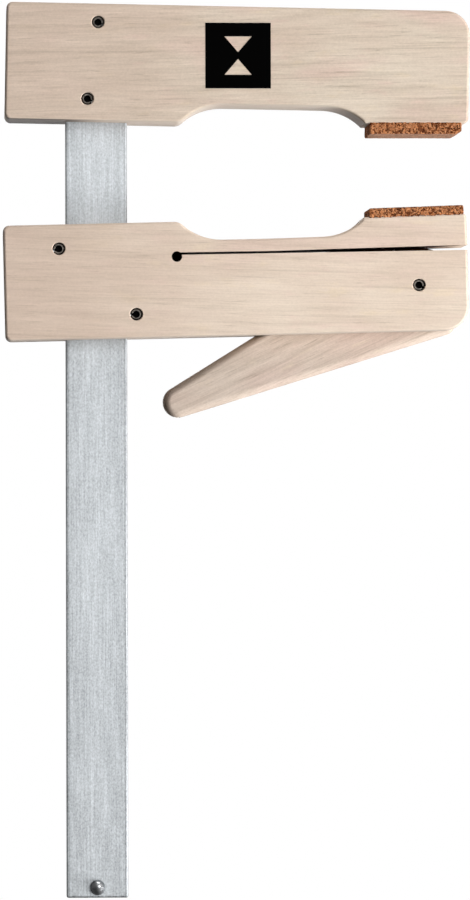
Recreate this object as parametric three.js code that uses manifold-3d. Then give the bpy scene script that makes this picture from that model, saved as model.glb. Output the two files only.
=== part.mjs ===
// A wooden cam clamp: a flat steel rail, a fixed jaw pinned to its head, and a sliding jaw whose sawn lip
// is lifted by a cam lever. Millimetres, Z up along the rail, X out along the jaws, Y through their
// thickness. The origin is the centre of the fixed jaw's cork face, which rests on the work.
import * as THREE from 'three';
import { mergeVertices } from 'three/addons/utils/BufferGeometryUtils.js';
import Module from 'manifold-3d';

const wasm = await Module();
wasm.setup();

// Fits
const fitGap = 0.3; // clearance between pieces that touch
const cutOverrun = 6; // how far a cutter runs past the face that it cuts
const arcSteps = 5; // half the number of straight steps in each arc of an outline
const roundSteps = 32; // straight sides round a pin or a hole
const samePoint = 1e-6; // points of an outline closer than this count as one

// Rail
const railWidth = 20;
const railThickness = 5;
const railLength = 288;
const railEdgeEase = 0.5;
const railEaseSteps = 2;
const railHeadSetback = 1.3; // the rail's upper end lies this far under the fixed jaw's back

// End stop, a domed rivet near the rail's lower end
const stopHeadDiameter = 5;
const stopHeadHeight = 2.2;
const stopShankDiameter = 3;
const stopFootDiameter = 4;
const stopFootHeight = 0.4;
const stopFromRailEnd = 3.4;

// What both jaws share
const jawLength = 150;
const jawHeel = 29.5; // from the rail's centre line back to the heel end
const jawThickness = 25;
const jawEdgeEase = 0.9;
const heelCornerRadius = 2;
const backCornerRadius = 7.9; // at the tip, on the back edge
const throatCutDepth = 6.1;
const throatFloorStart = 41.4; // along the jaw, from the rail's centre line
const throatRadius = 19;
const throatLeadRadius = 4; // rounds the edge where the throat leaves the gap side

// Fixed jaw
const fixedJawHeight = 37.8;
const fixedJawStandOff = 0.9; // from the pad's back up to the jaw's gap side, at the rail
const fixedJawSetOver = 0.5; // the jaw sits this far out from the rail's centre line
const toeInDegrees = 1.1; // the jaw leans towards the work at its tip
const fixedNoseRadius = 1.8; // at the tip, beside the pad
const fixedPinUpperAlong = 0.1;
const fixedPinUpperFromBack = 6;
const fixedPinLowerAlong = -2.9;
const fixedPinLowerFromGapSide = 7;

// Cork pads
const padLength = 29.9;
const padFromTip = 2.4; // from the pads' outer ends to the jaws' tips
const padSeatMargin = 0.63; // bare seat between the throat's curve and the pads' inner ends
const fixedPadThickness = 3.4;
const fixedPadChamferLength = 1.7;
const fixedPadEndFace = 2.5; // left square above the chamfer
const lipPadThickness = 2.5;
const lipPadEndRadius = 0.6;
const lipPadOverhang = 0.8; // the lip's pad is this much longer than the fixed jaw's, at its outer end

// Sliding jaw
const slidingJawHeight = 37.15;
const restOpening = 28.95; // from the work face down to the jaw's gap side, at the rail
const cantDegrees = 1.3; // the unlocked jaw leans this far from square to the rail
const lipSeatSink = 0.3; // the lip's pad seat lies this far under the jaw's gap side
const lipNoseRadius = 1.2; // at the tip, beside the pad

// Kerf that frees the lip
const kerfWidth = 0.75;
const kerfDepthAtRoot = 10.7; // of the kerf's lower face under the jaw's gap side, at the relief hole
const kerfTiltDegrees = 0.33;
const reliefHoleDiameter = 3.4;
const reliefHoleAlong = 26.4;
const reliefHoleUnderKerf = 0.55; // its centre under the kerf's lower face
const lipPresetDegrees = 0.8; // the lip stands open by this much before the cam lifts it

// Slotted spring pins
const pinDiameter = 4;
const pinWall = 0.8;
const pinSlotWidth = 0.9;
const pinRecess = 0.6; // each pin's end lies this far under the jaw's side face
const fixedPinSlotDegrees = 330; // where each pin's slot faces, turned from +X towards +Z
const guidePinSlotDegrees = 195;
const pivotPinSlotDegrees = 330;
const guidePinUpperFromGapSide = 7.85;
const guidePinLowerLevel = 7.6; // above the sliding jaw's back
const lockedGap = 0.18; // between the lower guide pin and the rail when the jaw is square and gripped

// Cam lever
const pivotFromTip = 16;
const pivotUnderKerf = 11.1;
const leverThickness = 10;
const leverEdgeRadius = 1.7;
const leverEdgeSteps = 3;
const leverTipFromRail = 26.1; // from the rail's centre line to the centre of the rounded tip
const leverAngleDegrees = 24.6; // of the line from the pivot to that centre, below the jaw
const leverTipRadius = 5;
const leverLowerReach = 18.05; // from the pivot square to the line of the lower edge
const leverCheek = 1.8; // between the cam's base circle and the line of the upper edge
const camRestAngleDegrees = 90; // where the cam begins to grow, round the pivot
const camSwingDegrees = 75;
const lipSwingDegrees = 2.4; // how far the lip turns while the lever makes its whole swing
const camShoulderDrop = 1.6; // the straight upper edge ends this far under the kerf
const camHeelReach = 10; // of the head's lower corner, past the pivot
const camHeelCore = 0.3; // radius of that corner inside its rounded edge
const camSteps = 20;

// Shared angles and places, worked out from the sizes above
const toeIn = THREE.MathUtils.degToRad(toeInDegrees);
const cant = THREE.MathUtils.degToRad(cantDegrees);
const kerfTilt = THREE.MathUtils.degToRad(kerfTiltDegrees);
const lipPreset = THREE.MathUtils.degToRad(lipPresetDegrees);
const lipSwing = THREE.MathUtils.degToRad(lipSwingDegrees);
const camSwing = THREE.MathUtils.degToRad(camSwingDegrees);
const camRestAngle = THREE.MathUtils.degToRad(camRestAngleDegrees);
const leverAngle = THREE.MathUtils.degToRad(leverAngleDegrees);
const pinRadius = pinDiameter / 2;
const pinHoleRadius = pinRadius + fitGap;
const jawReach = jawLength - jawHeel;
const padCentre = jawReach - padFromTip - padLength / 2;
const seatRise = throatCutDepth - lipSeatSink;
const throatRun = Math.sqrt(seatRise * (2 * throatRadius - seatRise));
const throatFloorEnd = padCentre - padLength / 2 - padSeatMargin - throatRun;
const fixedJawRise = fixedJawHeight + fixedJawStandOff + fixedPadThickness;
const fixedPins = {
  upper: { along: fixedPinUpperAlong, fromBack: fixedPinUpperFromBack },
  lower: { along: fixedPinLowerAlong, fromBack: fixedJawHeight - fixedPinLowerFromGapSide },
};
const railTop = fixedJawRise - railHeadSetback;
const railFoot = railTop - railLength;
const slidingJawDrop = restOpening + slidingJawHeight;
const kerfLevelAtRoot = slidingJawHeight - kerfDepthAtRoot;
const lipHingeAlong = (throatFloorStart + throatFloorEnd) / 2;
const lipHingeLevel = (slidingJawHeight - throatCutDepth + kerfUpperLevel(lipHingeAlong)) / 2;
const guidePinUpperLevel = slidingJawHeight - guidePinUpperFromGapSide;
const guidePinUpperAlong = jawAlongAtRest(-(railWidth / 2 + fitGap + pinRadius), guidePinUpperLevel);
const guidePinPlay = lockedGap + (guidePinUpperLevel - guidePinLowerLevel) * Math.sin(cant);
const guidePinLowerAlong = jawAlongAtRest(railWidth / 2 + guidePinPlay + pinRadius, guidePinLowerLevel);
const pivotAlong = jawReach - pivotFromTip;
const pivotLevel = kerfLowerLevel(pivotAlong) - pivotUnderKerf;
const leverLength = (pivotAlong - leverTipFromRail) / Math.cos(leverAngle);
const camBaseRadius = clearCamBase();

// Height of the kerf's lower face above the sliding jaw's back
function kerfLowerLevel(along) {
  return kerfLevelAtRoot - (along - reliefHoleAlong) * Math.tan(kerfTilt);
}

function kerfUpperLevel(along) {
  return kerfLowerLevel(along) + kerfWidth;
}

// Place along the canted sliding jaw of a point at a given distance from the rail's centre line
function jawAlongAtRest(fromRail, level) {
  return (fromRail + level * Math.sin(cant)) / Math.cos(cant);
}

// Materials
function wood(color) {
  return new THREE.MeshStandardMaterial({ color, roughness: 0.62, metalness: 0 });
}

function cork() {
  return new THREE.MeshStandardMaterial({ color: 0xa9713f, roughness: 0.95, metalness: 0 });
}

function steel(color, roughness) {
  return new THREE.MeshStandardMaterial({ color, roughness, metalness: 1 });
}

// Solids for joining and cutting
function toSolid(geometry) {
  const bare = geometry.index ? geometry.toNonIndexed() : geometry.clone();
  bare.deleteAttribute('normal');
  bare.deleteAttribute('uv');
  const merged = mergeVertices(bare);
  return new wasm.Manifold(new wasm.Mesh({
    numProp: 3,
    vertProperties: new Float32Array(merged.attributes.position.array),
    triVerts: new Uint32Array(merged.index.array),
  }));
}

function toGeometry(solid) {
  const mesh = solid.getMesh();
  const geometry = new THREE.BufferGeometry();
  geometry.setAttribute('position', new THREE.BufferAttribute(mesh.vertProperties, 3));
  geometry.setIndex(new THREE.BufferAttribute(mesh.triVerts, 1));
  geometry.computeVertexNormals();
  return geometry;
}

// A plate with its outline in X and Z, centred on Y, with its long edges eased
function plate(outline, thickness, ease = 0, easeSteps = 1) {
  const geometry = new THREE.ExtrudeGeometry(new THREE.Shape(outline), {
    depth: thickness - 2 * ease,
    steps: 1,
    bevelEnabled: ease > 0,
    bevelThickness: ease,
    bevelSize: ease,
    bevelOffset: -ease,
    bevelSegments: easeSteps,
  });
  geometry.translate(0, 0, ease - thickness / 2);
  geometry.rotateX(Math.PI / 2);
  return geometry;
}

// A round cutter through the thickness, at a place along and above the jaw's back
function roundCutter(radius, length, x, z) {
  const geometry = new THREE.CylinderGeometry(radius, radius, length, roundSteps);
  geometry.translate(x, 0, z);
  return toSolid(geometry);
}

// A box cutter centred on Y
function boxCutter(width, depth, height, x, z) {
  const geometry = new THREE.BoxGeometry(width, depth, height);
  geometry.translate(x, 0, z);
  return toSolid(geometry);
}

function cornersToPoints(corners) {
  return corners.map(([x, z]) => new THREE.Vector2(x, z));
}

// An outline without the points that repeat the one before
function distinct(points) {
  return points.filter((point, index) => index === 0 || point.distanceTo(points[index - 1]) > samePoint);
}

function named(name, geometry, material) {
  const mesh = new THREE.Mesh(geometry, material);
  mesh.name = name;
  return mesh;
}

// One jaw's outline with its gap side up and its back on zero; seatLevel gives the pad seat's height
function jawOutline(height, seatLevel, seatSlope, noseRadius) {
  const floor = height - throatCutDepth;
  const arcCentre = floor + throatRadius;
  const sweepTo = (level) => Math.acos((arcCentre - level) / throatRadius);
  const seatStart = seatLevel(throatFloorEnd + throatRadius * Math.sin(sweepTo(seatLevel(throatFloorEnd))));
  const noseX = jawReach - noseRadius;
  const lead = throatLead(height, arcCentre);
  const down = -Math.PI / 2;
  const path = new THREE.Path();
  path.absarc(heelCornerRadius - jawHeel, heelCornerRadius, heelCornerRadius, Math.PI, 3 * Math.PI / 2);
  path.absarc(jawReach - backCornerRadius, backCornerRadius, backCornerRadius, down, 0);
  path.absarc(noseX, seatLevel(noseX) - noseRadius, noseRadius, 0, Math.PI / 2 + seatSlope);
  path.absarc(throatFloorEnd, arcCentre, throatRadius, down + sweepTo(seatStart), down, true);
  path.absarc(throatFloorStart, arcCentre, throatRadius, down, lead.angle - Math.PI, true);
  path.absarc(lead.along, height - throatLeadRadius, throatLeadRadius, lead.angle, Math.PI / 2);
  path.absarc(heelCornerRadius - jawHeel, height - heelCornerRadius, heelCornerRadius, Math.PI / 2, Math.PI);
  return distinct(path.getPoints(arcSteps));
}

// Centre of the arc that leads from the gap side into the throat, and the angle where it meets the throat
function throatLead(height, arcCentre) {
  const climb = arcCentre - (height - throatLeadRadius);
  const reach = throatRadius + throatLeadRadius;
  const run = Math.sqrt(reach * reach - climb * climb);
  return { along: throatFloorStart - run, angle: Math.atan2(climb, run) };
}

// Where one of the fixed jaw's pins crosses the rail
function railPlace(pin) {
  return {
    x: fixedJawSetOver + pin.along * Math.cos(toeIn) - pin.fromBack * Math.sin(toeIn),
    z: fixedJawRise - pin.along * Math.sin(toeIn) - pin.fromBack * Math.cos(toeIn),
  };
}

// Rail with its two pin holes and the end stop's hole
function makeRail() {
  const half = railWidth / 2;
  const outline = cornersToPoints([[-half, railFoot], [half, railFoot], [half, railTop], [-half, railTop]]);
  const holeLength = railThickness + 2 * cutOverrun;
  let solid = toSolid(plate(outline, railThickness, railEdgeEase, railEaseSteps));
  for (const pin of Object.values(fixedPins)) {
    const place = railPlace(pin);
    solid = solid.subtract(roundCutter(pinHoleRadius, holeLength, place.x, place.z));
  }
  const stopHoleRadius = stopShankDiameter / 2 + fitGap;
  solid = solid.subtract(roundCutter(stopHoleRadius, holeLength, 0, railFoot + stopFromRailEnd));
  return named('rail', toGeometry(solid), steel(0xb9bdc0, 0.45));
}

// Domed rivet whose head stands in front of the rail and stops the sliding jaw
function makeEndStop() {
  const face = railThickness / 2 + fitGap;
  const headRadius = stopHeadDiameter / 2;
  const shankRadius = stopShankDiameter / 2;
  const footRadius = stopFootDiameter / 2;
  const dome = new THREE.EllipseCurve(0, -face, headRadius, stopHeadHeight, -Math.PI / 2, 0);
  const profile = dome.getPoints(2 * arcSteps);
  profile[0].x = 0;
  profile.push(new THREE.Vector2(shankRadius, -face));
  profile.push(new THREE.Vector2(shankRadius, face));
  profile.push(new THREE.Vector2(footRadius, face));
  profile.push(new THREE.Vector2(footRadius, face + stopFootHeight));
  profile.push(new THREE.Vector2(0, face + stopFootHeight));
  const mesh = named('rail_end_stop', new THREE.LatheGeometry(profile, roundSteps), steel(0xd6d7d8, 0.2));
  mesh.position.set(0, 0, railFoot + stopFromRailEnd);
  return mesh;
}

// Rolled steel pin with a slot down one side
function makeSpringPin(name, slotDegrees) {
  const slotAngle = THREE.MathUtils.degToRad(slotDegrees);
  const bore = pinRadius - pinWall;
  const outerSlot = Math.asin(pinSlotWidth / 2 / pinRadius);
  const innerSlot = Math.asin(pinSlotWidth / 2 / bore);
  const turn = 2 * Math.PI;
  const path = new THREE.Path();
  path.absarc(0, 0, pinRadius, slotAngle + outerSlot, slotAngle + turn - outerSlot);
  path.absarc(0, 0, bore, slotAngle + turn - innerSlot, slotAngle + innerSlot, true);
  const outline = path.getPoints(2 * arcSteps);
  return named(name, plate(outline, jawThickness - 2 * pinRecess), steel(0x6f6f6d, 0.4));
}

// Fixed jaw, drawn with its gap side down and its back on zero
function makeFixedJaw() {
  const seatHeight = fixedPadThickness + fitGap;
  const seatLevel = (along) => (fixedJawRise - along * Math.sin(toeIn) - seatHeight) / Math.cos(toeIn);
  const upright = jawOutline(fixedJawHeight, seatLevel, -toeIn, fixedNoseRadius);
  const outline = upright.map((p) => new THREE.Vector2(p.x, -p.y));
  const blank = toSolid(plate(outline, jawThickness, jawEdgeEase));
  const mortise = new THREE.BoxGeometry(
    railWidth + 2 * fitGap,
    railThickness + 2 * fitGap,
    fixedJawHeight + 2 * cutOverrun,
  );
  mortise.translate(-fixedJawSetOver, 0, -fixedJawHeight / 2);
  mortise.rotateY(-toeIn);
  let solid = blank.subtract(toSolid(mortise));
  for (const pin of Object.values(fixedPins)) {
    solid = solid.subtract(roundCutter(pinHoleRadius, jawThickness + cutOverrun, pin.along, -pin.fromBack));
  }
  return named('fixed_jaw', toGeometry(solid), wood(0xdcc9b6));
}

function makeFixedJawPad() {
  const half = padLength / 2;
  const outline = cornersToPoints([
    [-half, 0],
    [half - fixedPadChamferLength, 0],
    [half, fixedPadThickness - fixedPadEndFace],
    [half, fixedPadThickness],
    [-half, fixedPadThickness],
  ]);
  const mesh = named('fixed_jaw_pad', plate(outline, jawThickness), cork());
  mesh.position.set(padCentre, 0, 0);
  return mesh;
}

// Sliding jaw and lip, both cut from one blank with its back on zero
function slidingBlank() {
  const seatLevel = () => slidingJawHeight - lipSeatSink;
  const outline = jawOutline(slidingJawHeight, seatLevel, 0, lipNoseRadius);
  return toSolid(plate(outline, jawThickness, jawEdgeEase));
}

// The space above a line parallel to the kerf, from a place along the jaw out past its tip
function aboveKerf(start, lift) {
  const end = jawReach + cutOverrun;
  const top = slidingJawHeight + cutOverrun;
  const outline = cornersToPoints([
    [start, kerfLowerLevel(start) + lift],
    [end, kerfLowerLevel(end) + lift],
    [end, top],
    [start, top],
  ]);
  return toSolid(plate(outline, jawThickness + 2 * cutOverrun));
}

function kerfCutter() {
  const end = jawReach + cutOverrun;
  const outline = cornersToPoints([
    [reliefHoleAlong, kerfLowerLevel(reliefHoleAlong)],
    [end, kerfLowerLevel(end)],
    [end, kerfUpperLevel(end)],
    [reliefHoleAlong, kerfUpperLevel(reliefHoleAlong)],
  ]);
  const depth = jawThickness + 2 * cutOverrun;
  const holeLevel = kerfLevelAtRoot - reliefHoleUnderKerf;
  const hole = roundCutter(reliefHoleDiameter / 2, depth, reliefHoleAlong, holeLevel);
  return toSolid(plate(outline, depth)).add(hole);
}

// Through mortise, wide enough for the jaw to rock on the rail
function slidingMortise() {
  const depth = railThickness + 2 * fitGap;
  const height = slidingJawHeight + 2 * cutOverrun;
  const left = jawAlongAtRest(-railWidth / 2, 0) - fitGap;
  const right = jawAlongAtRest(railWidth / 2, slidingJawHeight) + fitGap;
  return boxCutter(right - left, depth, height, (left + right) / 2, slidingJawHeight / 2);
}

// Points of the lever that its outline and its slot share, measured from the pivot
function leverFrame() {
  const upperReach = camBaseRadius + leverCheek;
  const lower = leverAngle - Math.asin((leverLowerReach - leverTipRadius) / leverLength);
  const upper = leverAngle + Math.asin((upperReach - leverTipRadius) / leverLength);
  const tip = new THREE.Vector2(-leverLength * Math.cos(leverAngle), -leverLength * Math.sin(leverAngle));
  const upperPoint = (along, offset) => {
    const normalX = tip.x - (leverTipRadius + offset) * Math.sin(upper);
    const normalZ = tip.y + (leverTipRadius + offset) * Math.cos(upper);
    return new THREE.Vector2(along, normalZ + (along - normalX) * Math.tan(upper));
  };
  const lowerStart = new THREE.Vector2(
    tip.x + leverTipRadius * Math.sin(lower),
    tip.y - leverTipRadius * Math.cos(lower),
  );
  const heelLevel = lowerStart.y + (camHeelReach - lowerStart.x) * Math.tan(lower);
  const heel = new THREE.Vector2(camHeelReach, heelLevel);
  return { tip, lower, upper, upperPoint, heel };
}

// Lever slot: open below, at the tip and into the kerf, and closed by a slope that stops the lever
function leverSlot() {
  const { upperPoint, upper } = leverFrame();
  const end = jawReach + cutOverrun;
  const slopeAt = (level) => {
    const onLine = upperPoint(0, fitGap);
    return pivotAlong + (level - pivotLevel - onLine.y) / Math.tan(upper);
  };
  const foot = -cutOverrun;
  const outline = cornersToPoints([
    [slopeAt(foot), foot],
    [end, foot],
    [end, slidingJawHeight],
    [slopeAt(slidingJawHeight), slidingJawHeight],
  ]);
  return toSolid(plate(outline, leverThickness + 2 * fitGap));
}

function makeSlidingJaw() {
  const depth = jawThickness + cutOverrun;
  const solid = slidingBlank()
    .subtract(kerfCutter())
    .subtract(aboveKerf(lipHingeAlong - fitGap / 2, 0))
    .subtract(slidingMortise())
    .subtract(leverSlot())
    .subtract(roundCutter(pinHoleRadius, depth, guidePinUpperAlong, guidePinUpperLevel))
    .subtract(roundCutter(pinHoleRadius, depth, guidePinLowerAlong, guidePinLowerLevel))
    .subtract(roundCutter(pinHoleRadius, depth, pivotAlong, pivotLevel));
  return named('sliding_jaw', toGeometry(solid), wood(0xd9c5b2));
}

function makeJawLip() {
  const solid = slidingBlank().intersect(aboveKerf(lipHingeAlong + fitGap / 2, kerfWidth));
  const geometry = toGeometry(solid);
  geometry.translate(-lipHingeAlong, 0, -lipHingeLevel);
  return named('jaw_lip', geometry, wood(0xdfccba));
}

function makeLipPad() {
  const half = padLength / 2;
  const path = new THREE.Path();
  path.moveTo(-half, 0);
  path.lineTo(half + lipPadOverhang, 0);
  path.lineTo(half + lipPadOverhang, lipPadThickness);
  const endCentreLevel = lipPadThickness - lipPadEndRadius;
  path.absarc(lipPadEndRadius - half, endCentreLevel, lipPadEndRadius, Math.PI / 2, Math.PI);
  const mesh = named('lip_pad', plate(path.getPoints(arcSteps), jawThickness), cork());
  const seat = slidingJawHeight - lipSeatSink + fitGap;
  mesh.position.set(padCentre + padSetOver() - lipHingeAlong, 0, seat - lipHingeLevel);
  return mesh;
}

// How far along the canted jaw the lip's pad lies past the fixed jaw's pad, so that their ends meet
function padSetOver() {
  return slidingJawHeight * Math.sin(cant);
}

// Distance from the pivot to the lip's underside, and which way that face's normal points, after a share
// of the lever's swing
function lipUnderside(swingShare) {
  const turn = lipPreset + lipSwing * swingShare;
  const depth = lipHingeLevel - kerfUpperLevel(lipHingeAlong);
  const foot = new THREE.Vector2(
    lipHingeAlong + depth * Math.sin(turn) - pivotAlong,
    lipHingeLevel - depth * Math.cos(turn) - pivotLevel,
  );
  const normalAngle = Math.PI / 2 + turn - kerfTilt;
  const normal = new THREE.Vector2(Math.cos(normalAngle), Math.sin(normalAngle));
  return { distance: foot.dot(normal), normalAngle };
}

// How far the cam stands out past its base circle, at an angle round the pivot of the lever at rest
function camGrowth(angle) {
  const arm = pivotAlong - lipHingeAlong;
  const rise = arm * (Math.tan(lipPreset + lipSwing) - Math.tan(lipPreset));
  return rise * THREE.MathUtils.clamp((camRestAngle - angle) / camSwing, 0, 1);
}

// Largest base circle whose cam stays clear of the lip all through the swing
function clearCamBase() {
  let radius = Infinity;
  for (let step = 0; step <= camSteps; step += 1) {
    const swung = camSwing * step / camSteps;
    const lip = lipUnderside(step / camSteps);
    for (let place = 0; place <= camSteps; place += 1) {
      const angle = camRestAngle + camSwing * (1 - 2 * place / camSteps);
      const facing = Math.cos(angle + swung - lip.normalAngle);
      const room = facing > 0 ? (lip.distance - fitGap) / facing : Infinity;
      radius = Math.min(radius, room - camGrowth(angle));
    }
  }
  return radius;
}

// Where a line from a point outside a circle about the pivot touches it, on the chosen side
function tangentAngle(point, radius, side) {
  return point.angle() + side * Math.acos(radius / point.length());
}

function leverOutline() {
  const { tip, lower, upper, upperPoint, heel } = leverFrame();
  const camTopRadius = camBaseRadius + camGrowth(camRestAngle - camSwing);
  const shoulderLevel = kerfLowerLevel(pivotAlong) - camShoulderDrop - pivotLevel;
  const zeroPoint = upperPoint(0, 0);
  const shoulder = new THREE.Vector2((shoulderLevel - zeroPoint.y) / Math.tan(upper), shoulderLevel);
  const shoulderTouch = tangentAngle(shoulder, camBaseRadius, -1);
  const heelTouch = tangentAngle(heel, camTopRadius, 1) - 2 * Math.PI;
  const spiralEnd = camRestAngle - camSwing;
  const heelRadius = leverEdgeRadius + camHeelCore;
  const heelCentre = heelArcCentre(heel, heelRadius, lower, heelTouch);
  const down = -Math.PI / 2;
  const path = new THREE.Path();
  path.absarc(tip.x, tip.y, leverTipRadius, Math.PI / 2 + upper, 3 * Math.PI / 2 + lower);
  path.absarc(heelCentre.x, heelCentre.y, heelRadius, down + lower, heelTouch);
  path.absarc(0, 0, camTopRadius, heelTouch, spiralEnd);
  const spiral = [];
  for (let step = 1; step <= camSteps; step += 1) {
    const angle = spiralEnd + camSwing * step / camSteps;
    const radius = camBaseRadius + camGrowth(angle);
    spiral.push(new THREE.Vector2(radius * Math.cos(angle), radius * Math.sin(angle)));
  }
  const nose = new THREE.Path();
  nose.absarc(0, 0, camBaseRadius, camRestAngle, shoulderTouch);
  const noseArc = nose.getPoints(arcSteps).slice(1);
  return [...path.getPoints(arcSteps), ...spiral, ...noseArc, shoulder];
}

// Centre of the arc that rounds the heel between the lower edge and the line up to the cam
function heelArcCentre(heel, radius, lower, heelTouch) {
  const edgeNormal = new THREE.Vector2(-Math.sin(lower), Math.cos(lower));
  const lineNormal = new THREE.Vector2(-Math.cos(heelTouch), -Math.sin(heelTouch));
  const bisector = edgeNormal.clone().add(lineNormal);
  return bisector.multiplyScalar(radius / (1 + edgeNormal.dot(lineNormal))).add(heel);
}

function makeCamLever() {
  const body = toSolid(plate(leverOutline(), leverThickness, leverEdgeRadius, leverEdgeSteps));
  const solid = body.subtract(roundCutter(pinHoleRadius, leverThickness + cutOverrun, 0, 0));
  return named('cam_lever', toGeometry(solid), wood(0xc9b3a2));
}

function placed(mesh, x, z) {
  mesh.position.set(x, 0, z);
  return mesh;
}

// The jaw that is pinned to the rail's head
function fixedJawGroup() {
  const group = new THREE.Group();
  group.position.set(fixedJawSetOver, 0, fixedJawRise);
  group.rotation.y = toeIn;
  const upper = makeSpringPin('fixed_jaw_pin_upper', fixedPinSlotDegrees);
  const lower = makeSpringPin('fixed_jaw_pin_lower', fixedPinSlotDegrees);
  group.add(makeFixedJaw());
  group.add(placed(upper, fixedPins.upper.along, -fixedPins.upper.fromBack));
  group.add(placed(lower, fixedPins.lower.along, -fixedPins.lower.fromBack));
  return group;
}

// The flexing lip with its pad, turned open about the middle of its thin neck
function lipGroup() {
  const group = new THREE.Group();
  group.position.set(lipHingeAlong, 0, lipHingeLevel);
  group.rotation.y = -lipPreset;
  group.add(makeJawLip());
  group.add(makeLipPad());
  return group;
}

// The jaw that slides on the rail, with its lip, pins and lever
function slidingJawGroup() {
  const group = new THREE.Group();
  group.position.set(0, 0, -slidingJawDrop);
  group.rotation.y = -cant;
  group.add(makeSlidingJaw());
  group.add(lipGroup());
  const guideUpper = makeSpringPin('guide_pin_upper', guidePinSlotDegrees);
  const guideLower = makeSpringPin('guide_pin_lower', guidePinSlotDegrees);
  const pivot = makeSpringPin('cam_pivot_pin', pivotPinSlotDegrees);
  group.add(placed(guideUpper, guidePinUpperAlong, guidePinUpperLevel));
  group.add(placed(guideLower, guidePinLowerAlong, guidePinLowerLevel));
  group.add(placed(pivot, pivotAlong, pivotLevel));
  group.add(placed(makeCamLever(), pivotAlong, pivotLevel));
  return group;
}

function makeClamp() {
  const clamp = new THREE.Group();
  clamp.position.set(-padCentre, 0, 0);
  clamp.add(makeRail());
  clamp.add(makeEndStop());
  clamp.add(fixedJawGroup());
  clamp.add(makeFixedJawPad());
  clamp.add(slidingJawGroup());
  return clamp;
}

export default makeClamp();
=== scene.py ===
"""Looks of a wooden cam clamp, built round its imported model. The scene is in metres, in the model's own
frame: Z up along the rail, X from the rail to the jaws' tips, Y through their thickness. The pieces' sizes
are written in millimetres, and each piece's mesh is scaled down when it is made. The stage, the lamps and
the camera are written in metres."""
import math

import bmesh
import bpy
from mathutils import Matrix, Vector, noise


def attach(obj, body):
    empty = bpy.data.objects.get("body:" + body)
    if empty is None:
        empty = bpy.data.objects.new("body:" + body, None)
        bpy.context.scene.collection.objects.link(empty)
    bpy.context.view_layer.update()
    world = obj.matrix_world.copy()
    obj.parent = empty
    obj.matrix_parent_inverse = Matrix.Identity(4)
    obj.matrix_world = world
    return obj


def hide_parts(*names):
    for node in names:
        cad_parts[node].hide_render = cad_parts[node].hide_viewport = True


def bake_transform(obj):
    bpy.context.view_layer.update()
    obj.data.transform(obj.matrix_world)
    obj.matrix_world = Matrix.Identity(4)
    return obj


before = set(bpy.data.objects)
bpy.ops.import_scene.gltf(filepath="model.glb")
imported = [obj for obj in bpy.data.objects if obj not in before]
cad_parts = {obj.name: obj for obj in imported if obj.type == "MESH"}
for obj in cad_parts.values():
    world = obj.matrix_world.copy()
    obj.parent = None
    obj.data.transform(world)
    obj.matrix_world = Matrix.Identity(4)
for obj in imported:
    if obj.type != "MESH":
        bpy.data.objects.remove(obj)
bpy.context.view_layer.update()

MM = 0.001
SAME_POINT = 1e-5
CUT_OVERRUN = 6.0
ARC_STEPS = 14
ROUND_STEPS = 48
SHARP_ANGLE = math.radians(34)
NORMAL_WEIGHT = 80

# Both jaws, as in the model
JAW_HEEL = 29.5
JAW_REACH = 120.5
JAW_THICKNESS = 25.0
HEEL_CORNER = 2.0
BACK_CORNER = 7.9
THROAT_CUT_DEPTH = 6.1
THROAT_FLOOR_START = 41.4
THROAT_RADIUS = 19.0
THROAT_LEAD_RADIUS = 4.0
PAD_CENTRE = 103.15
PAD_LENGTH = 29.9
PAD_SEAT_MARGIN = 0.63
SEAT_RISE = 5.8
THROAT_RUN = math.sqrt(SEAT_RISE * (2 * THROAT_RADIUS - SEAT_RISE))
THROAT_FLOOR_END = PAD_CENTRE - PAD_LENGTH / 2 - PAD_SEAT_MARGIN - THROAT_RUN
WOOD_EASE = 0.9
WOOD_EASE_STEPS = 4
CUT_END = JAW_REACH + CUT_OVERRUN

# Fixed jaw
FIXED_HEIGHT = 37.8
FIXED_RISE = 42.1
FIXED_SET_OVER = 0.5
FIXED_NOSE = 1.8
TOE_IN = math.radians(1.1)
FIXED_PINS = {"fixed_jaw_pin_upper": (0.1, -6.0), "fixed_jaw_pin_lower": (-2.9, -30.8)}

# Sliding jaw and its lip
SLIDING_HEIGHT = 37.15
SLIDING_DROP = 66.1
CANT = math.radians(1.3)
LIP_SEAT_SINK = 0.3
LIP_PRESET = math.radians(0.8)
LIP_HINGE = (57.652, 29.035)
LIP_NOSE = 1.2
LIP_SEAM_ALONG = 28.6
LIP_PARTING = 0.69
BEND_STEP = 1.25
SLIDING_PINS = {"guide_pin_upper": (-11.638, 29.3), "guide_pin_lower": (12.848, 7.6),
                "cam_pivot_pin": (104.5, 14.9002)}
PIVOT = SLIDING_PINS["cam_pivot_pin"]

# The kerf under the lip, the relief hole at its root, and the web and ridge that keep light out
KERF_WIDTH = 0.75
KERF_ROOT_LEVEL = 26.45
KERF_TILT = math.radians(0.33)
KERF_BACK_FROM = 2.0
KERF_BACK_RISE = 0.62
KERF_BACK_RAMP = (66.0, 76.0)
KERF_BACK_END = 108.3
KERF_RIDGE = (77.0, 107.0)
KERF_RIDGE_GAP = 0.07
KERF_WEB = (-2.0, 7.0)
KERF_WEB_END = 30.0
KERF_STEP = 0.2
RELIEF_ALONG = 26.4
RELIEF_UNDER_KERF = 0.55
RELIEF_RADIUS = 1.7
RELIEF_FRONT_DEPTH = 15.0
RELIEF_BACK_DEPTH = 5.0

# Rail
RAIL_WIDTH = 20.0
RAIL_THICKNESS = 5.0
RAIL_TOP = 40.8
RAIL_FOOT = -247.2
RAIL_EASE = 0.65
RAIL_EASE_STEPS = 5
RAIL_EDGE_BAND = 0.8
RAIL_CORNER = 0.7
RAIL_CORNER_STEPS = 5
MORTISE_CLEARANCE = 0.12
SLIDING_MORTISE_CLEARANCE = 0.3

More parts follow.
